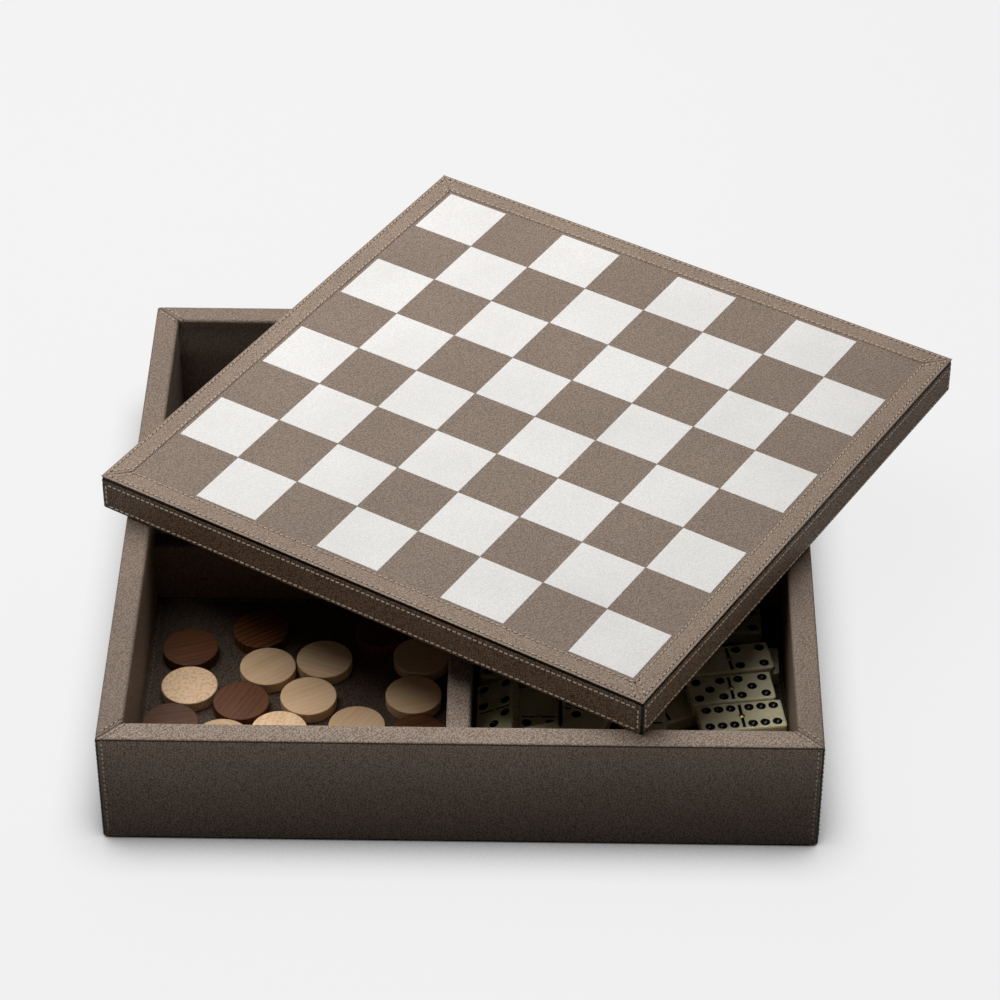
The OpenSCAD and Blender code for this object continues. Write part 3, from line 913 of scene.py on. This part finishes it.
def lid_seams():
    top, band = Seams(11), Seams(12)
    up, outward_face = (0, 0, 1), (0, -1, 0)
    y, z = -LID_HALF + 0.08, LID_H - 0.12
    rows = []
    for off in LID_ROWS:
        x = LID_HALF - off
        rows.append((top, (-x, -x, z), (x, -x, z), up, 0.6, PITCH))
    # Beside the mitre, from the outer row to the inner one, and down the corner of the band
    near, far = LID_ROWS[0] + 0.9, LID_ROWS[1] - 0.9
    for sign in (-1, 1):
        start = (sign * (LID_HALF - near - MITRE_ROW), -LID_HALF + near, z)
        end = (sign * (LID_HALF - far - MITRE_ROW), -LID_HALF + far, z)
        rows.append((top, start, end, up, 0.1, PITCH))
        x = sign * (LID_HALF - BAND_SEAM_IN)
        rows.append((band, (x, y, 3.4), (x, y, 17.0), outward_face, 0.1, 3.1))
    x = LID_HALF - BAND_SEAM_IN
    for level, pitch in zip(BAND_ROWS, (PITCH, 3.25)):
        rows.append((band, (-x, y, level), (x, y, level), outward_face, 1.2, pitch))
    for q in range(4):
        for seams, start, end, face, gap, pitch in rows:
            seams.row(*turned([start, end, face], q), gap=gap, pitch=pitch)
    top.build("stitches_lid_top", THREAD_TOP_PAINTED_DARKER, **ON_LID)
    band.build("stitches_lid_sides", THREAD_PAINTED_LIGHT, **ON_LID)


# Dominoes: the paint in the pips and in the middle bar lies in the recesses of the CAD tiles.
# Each has its two numbers, its middle from the front right inside corner, its layer and its turn

TILES = [
    (6, 6, -25.5, 55.8, 1, 8.2), (5, 5, -30.7, 78.2, 1, 8.4), (0, 4, -31, 102.2, 1, 10),
    (1, 0, -67.7, 69.9, 0, 26), (0, 3, -77.7, 49.7, 1, 90), (0, 5, -134.9, 63.3, 0, -90),
    (2, 3, -106.8, 57.9, 1, 69.4), (2, 0, -143.4, 23.2, 2, 18.6), (4, 5, -34.6, 145, 0, 0),
    (2, 2, -26.2, 111.2, 0, 0), (1, 5, -111.1, 70.2, 0, 90), (6, 1, -88.4, 150.3, 1, -6),
    (3, 3, -25.3, 41.9, 0, 0), (4, 4, -20.3, 76.5, 0, 90), (2, 6, -72.8, 35.2, 0, 0),
    (0, 6, -144.9, 153.3, 0, 1), (1, 1, -93.4, 155.3, 0, -3), (3, 5, -144.4, 129.3, 0, 0),
    (4, 6, -93.4, 130.3, 0, 2), (2, 4, -144.4, 105.3, 0, -1), (1, 4, -93.4, 105.9, 0, 0),
    (0, 0, -144.9, 12.2, 0, 0), (1, 2, -94.4, 12.8, 0, 0), (1, 3, -25.7, 17.5, 0, -4),
    (2, 5, -145.9, 17.8, 1, 3), (3, 6, -84.4, 116.3, 1, 20), (5, 6, -144.4, 119.3, 1, -12),
]
# One more stands on one lower edge and leans on a tile: its numbers, its middle and its turn
LEANING = (4, 3, -155.3, 64.5, -90)
PIP_FROM_BAR = 5.0
PIP_STEP = 6.65
PIP_ACROSS = 6.4


def pips(n):
    """Places of n pips: c counts away from the middle bar, r is across the tile."""
    spots = []
    for c in range(3):
        for r in (-1, 0, 1):
            if (
                (n % 2 and c == 1 and r == 0)
                or (n >= 2 and c + r == 1 and r)
                or (n >= 4 and c - r == 1 and r)
                or (n == 6 and c == 1 and r)
            ):
                spots.append((c, r))
    return spots


def paint_dish(x, y):
    """A thin lens of paint over the whole hollow of one pip."""
    ball = ((PIP_D / 2) ** 2 + PIP_DEPTH**2) / (2 * PIP_DEPTH)
    centre = TILE_T + ball - PIP_DEPTH
    widest = math.asin((PIP_D / 2 - 0.03) / ball)
    steps, around = 6, 20
    points, faces = [], []
    for radius, order in ((ball - 0.05, 1), (ball - 0.015, -1)):
        base = len(points)
        points.append((x, y, centre - radius))
        for s in range(1, steps + 1):
            a = widest * s / steps
            wide, z = radius * math.sin(a), centre - radius * math.cos(a)
            for k in range(around):
                t = 2 * math.pi * k / around
                points.append((x + wide * math.cos(t), y + wide * math.sin(t), z))
        for k in range(around):
            n = (k + 1) % around
            faces.append([base, base + 1 + k, base + 1 + n][::order])
            for s in range(steps - 1):
                low = base + 1 + s * around
                faces.append([low + k, low + around + k, low + around + n, low + n][::order])
    per = 1 + steps * around
    rim = 1 + (steps - 1) * around
    for k in range(around):
        n = (k + 1) % around
        faces.append([rim + k, per + rim + k, per + rim + n, rim + n])
    return points, faces


def paint_bar():
    """Paint on the floor of the middle bar: a ring round the pin and a strip to each side."""
    half_w, half_l, strip_start = 0.86, 9.16, 1.56
    pin_r, ring_r = 1.32, 1.76
    floor = TILE_T - 0.6
    top, low = floor + 0.05, floor + 0.012
    n = 24
    points, faces = [], []
    for level in (top, low):
        for radius in (pin_r, ring_r):
            for k in range(n):
                t = 2 * math.pi * k / n
                points.append((radius * math.cos(t), radius * math.sin(t), level))
    for k in range(n):
        j = (k + 1) % n
        faces.append([k, n + k, n + j, j])
        faces.append([2 * n + j, 3 * n + j, 3 * n + k, 2 * n + k])
        faces.append([n + k, 3 * n + k, 3 * n + j, n + j])
        faces.append([j, 2 * n + j, 2 * n + k, k])
    corners = ((-half_w, strip_start), (half_w, strip_start), (half_w, half_l), (-half_w, half_l))
    for sign in (-1, 1):
        b = len(points)
        for level in (top + 0.002, low):
            points += [(x * sign, y * sign, level) for x, y in corners]
        faces += [[b, b + 1, b + 2, b + 3], [b + 7, b + 6, b + 5, b + 4]]
        for k in range(4):
            j = (k + 1) % 4
            faces.append([b + k, b + 4 + k, b + 4 + j, b + j])
    return points, faces


def domino_paint():
    placed = []
    for a, b, x, y, layer, angle in TILES:
        at = Matrix.Translation((INNER + x, y - INNER, FLOOR + layer * LAYER))
        placed.append((a, b, at @ Matrix.Rotation(math.radians(angle), 4, "Z")))
    a, b, x, y, angle = LEANING
    lean = math.asin(TILE_T / TILE_W)
    at = Matrix.Translation((INNER + x, y - INNER, FLOOR + TILE_T / 2)) @ Matrix.Rotation(-lean, 4, "Y")
    placed.append((a, b, at @ Matrix.Rotation(math.radians(angle), 4, "Z")))

    all_points, all_faces = [], []
    start = 0
    for a, b, matrix in placed:
        shapes = [paint_bar()]
        for sign, number in ((-1, a), (1, b)):
            for c, r in pips(number):
                shapes.append(paint_dish(sign * (PIP_FROM_BAR + PIP_STEP * c), PIP_ACROSS * r))
        turn = np.array(matrix.to_3x3()).T
        for points, faces in shapes:
            all_points.append(np.asarray(points, float) @ turn + np.array(matrix.translation))
            all_faces += [[v + start for v in f] for f in faces]
            start += len(points)
    make("domino_paint", np.concatenate(all_points), all_faces, [BLACK], slot="ivory", sharp=50.0)


wall_leather()
wall_seams()
floor_leathers()
divider_leathers()
board_sheet()
white_squares()
border_strips()
side_bands()
lid_seams()
domino_paint()


# Materials of the CAD nodes that stay in view


def dress(names, material):
    for name in names:
        mesh = nodes[name].data
        mesh.materials.clear()
        mesh.materials.append(material)


WALNUT = (rgb(118, 71, 37), rgb(91, 52, 25), rgb(50, 26, 11))
MAPLE = (rgb(228, 198, 164), rgb(214, 179, 140), rgb(187, 144, 98))
WALNUT_LINES = 0.24
MAPLE_LINES = 0.16
WALNUT_PORES = 0.6

# The way of each draught's grain, in degrees
GRAIN = {
    "walnut_a": 20, "walnut_b": 65, "walnut_c": 10, "walnut_d": 35, "walnut_e": 80, "walnut_f": 25,
    "maple_a": 12, "maple_b": 150, "maple_c": 78, "maple_d": 30, "maple_e": 55, "maple_f": 40,
    "maple_g": -20, "maple_h": 5, "maple_i": 15,
}
# Draughts that are more figured or flecked than the others, and draughts made lighter or darker: partly their
# own tone, and for walnut_d painted light, as it lies in shade
FIGURED = {"walnut_d": 0.6, "walnut_a": 0.3, "maple_b": 0.3, "maple_c": 0.24, "maple_g": 0.24}
FLECKED = {"maple_a": 0.7, "maple_c": 0.4}
TONE_AND_PAINTED_LIGHT = {"walnut_d": 0.35, "maple_c": 0.25, "maple_f": -0.1}


def dress_draughts():
    for k, (name, degrees) in enumerate(GRAIN.items()):
        dark = name.startswith("walnut")
        low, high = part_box("draught_" + name)
        # A random spread of tone, plus the listed lightening, which for walnut_d is painted light
        tone = 1.0 + 0.09 * math.sin(k * 2.4) + TONE_AND_PAINTED_LIGHT.get(name, 0.0)
        colours = [[min(1.0, c * tone) for c in colour[:3]] + [1.0] for colour in (WALNUT if dark else MAPLE)]
        material = wood(
            "wood_" + name, colours, centre=tuple((low + high) / 2), angle=math.radians(-degrees),
            lines=FIGURED.get(name, WALNUT_LINES if dark else MAPLE_LINES), seed=0.131 * (k + 1),
            pores=WALNUT_PORES if dark else 0.0, mottle=FLECKED.get(name, 0.0),
        )
        dress(["draught_" + name], material)
    walnut = wood("wood_walnut_stack", WALNUT, angle=0.5, lines=WALNUT_LINES, pores=WALNUT_PORES)
    dress(["draughts_walnut_stacked"], walnut)
    dress(["draughts_maple_stacked"], wood("wood_maple_stack", MAPLE, angle=1.1, lines=MAPLE_LINES))


dress_draughts()
dress([n for n in nodes if n.startswith("domino") and n != "domino_pins"], IVORY)
dress(["domino_pins"], BRASS)
dress(["base_lining", "lid_lining"], SUEDE)
dress([n for n in nodes if n.startswith("wall_core")], TIMBER)
dress(["corner_splines", "base_panel", "divider_long", "divider_cross", "lid_core"], TIMBER)


# Floor, world and lamps, in metres

FLOOR_REACH = 12.0
FLOOR_GLOW = 0.83
SHADOW_REACH = 0.031
WORLD_COLOUR = (1.0, 0.95, 0.88, 1)
WORLD_STRENGTH = 0.055


def seen_rays(g):
    """1 for rays that draw the background: from the camera, and in gloss and glass."""
    path = g.add("LightPath").outputs
    either = g.math("MAXIMUM", path["Is Camera Ray"], path["Is Glossy Ray"])
    return g.math("MAXIMUM", either, path["Is Transmission Ray"])


def floor_material():
    """Pale floor. Its shadow is partly the lamps' own and partly the soft one close round the foot:
    the more of the sky is hidden there, the more of the floor's glow is lost."""
    g = Graph("stage_floor")
    soft = g.noise(g.here(), scale=1.4, detail=1.0, rough=0.4)
    colour = g.mix(soft, (0.055, 0.055, 0.055, 1), (0.06, 0.06, 0.06, 1))
    seen = g.add("BsdfDiffuse", {"Color": colour})
    open_sky = g.add("AmbientOcclusion", {"Distance": SHADOW_REACH}, samples=8).outputs["AO"]
    hidden = g.math("SUBTRACT", 1.0, open_sky)
    soft_part = g.math("MULTIPLY", hidden, 0.64)
    close_part = g.math("MULTIPLY", g.math("MULTIPLY", hidden, hidden), 1.5)
    lost = g.math("ADD", soft_part, close_part)
    light = g.math("MULTIPLY", g.math("SUBTRACT", 1.0, lost, clamp=True), FLOOR_GLOW)
    glow = g.add("Emission", {"Color": (1, 1, 1, 1), "Strength": light})
    both = g.add("AddShader", {0: seen.outputs[0], 1: glow.outputs[0]})
    bounce = g.add("BsdfDiffuse", {"Color": (0.05, 0.05, 0.05, 1)})
    mixed = g.add("MixShader", {0: seen_rays(g), 1: bounce.outputs[0], 2: both.outputs[0]})
    g.tree.links.new(mixed.outputs[0], g.output.inputs[0])
    return g.material


def stage():
    mesh = bpy.data.meshes.new("stage_floor")
    r = FLOOR_REACH
    mesh.from_pydata([(-r, -r, 0), (r, -r, 0), (r, r, 0), (-r, r, 0)], [], [(0, 1, 2, 3)])
    mesh.materials.append(floor_material())
    floor = bpy.data.objects.new("stage_floor", mesh)
    scene.collection.objects.link(floor)
    floor.location = (0, 0, -0.0003)


def lamp(name, place, aim, size, watts, spread=180.0):
    """A rectangular lamp at place that looks at aim, in metres."""
    data = bpy.data.lights.new(name, "AREA")
    data.shape = "RECTANGLE"
    data.size, data.size_y = size
    data.energy = watts
    data.spread = math.radians(spread)
    obj = bpy.data.objects.new(name, data)
    scene.collection.objects.link(obj)
    obj.location = place
    obj.rotation_mode = "QUATERNION"
    obj.rotation_quaternion = (Vector(aim) - Vector(place)).to_track_quat("-Z", "Y")


def add_world():
    world = bpy.data.worlds.new("world")
    world.use_nodes = True
    sky = world.node_tree.nodes["Background"].inputs
    sky["Color"].default_value = WORLD_COLOUR
    sky["Strength"].default_value = WORLD_STRENGTH
    scene.world = world


stage()
# A broad one above, and a low narrow strip for the front faces
lamp("softbox", (-0.23, 0.385, 1.04), (0.0, 0.0, 0.08), (1.25, 1.25), 17.9)
lamp("front", (0.5, -1.25, 0.13), (0.03, -0.19, 0.111), (1.5, 0.06), 0.125, spread=9.6)
add_world()
